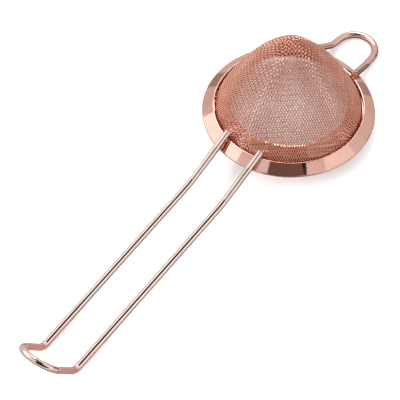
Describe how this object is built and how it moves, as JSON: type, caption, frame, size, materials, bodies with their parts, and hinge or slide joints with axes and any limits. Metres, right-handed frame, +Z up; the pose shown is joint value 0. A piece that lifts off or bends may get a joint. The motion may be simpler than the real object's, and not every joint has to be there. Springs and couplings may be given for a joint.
{
  "type": "cone strainer",
  "caption": "Small fine-mesh cone strainer with a dished rim, a long looped wire handle that ends in a hook, and a short rest loop.",
  "frame": {"origin": "on the table under the middle of the part's box, with the strainer resting cone up on its handle bends and its rest loop", "axes": "+Z up; -Y towards the hook at the end of the handle, +Y towards the rest loop; X = 0 is the mirror plane"},
  "size_m": [0.084, 0.2488, 0.059],
  "materials": {
    "rim_plating": "polished rose-gold plating on stainless steel",
    "wire_plating": "polished rose-gold plating on stainless steel wire",
    "woven_mesh": "rose-gold plated woven stainless steel wire",
    "weld_metal": "plated weld metal"
  },
  "bodies": {
    "root": {"rim_flange": "rim_plating", "rim_clamp_ring": "rim_plating", "mesh_basket": "woven_mesh", "handle_rod": "wire_plating", "rest_loop_rod": "wire_plating", "handle_weld_left": "weld_metal", "handle_weld_right": "weld_metal", "loop_weld_left": "weld_metal", "loop_weld_right": "weld_metal"}
  },
  "joints": []
}
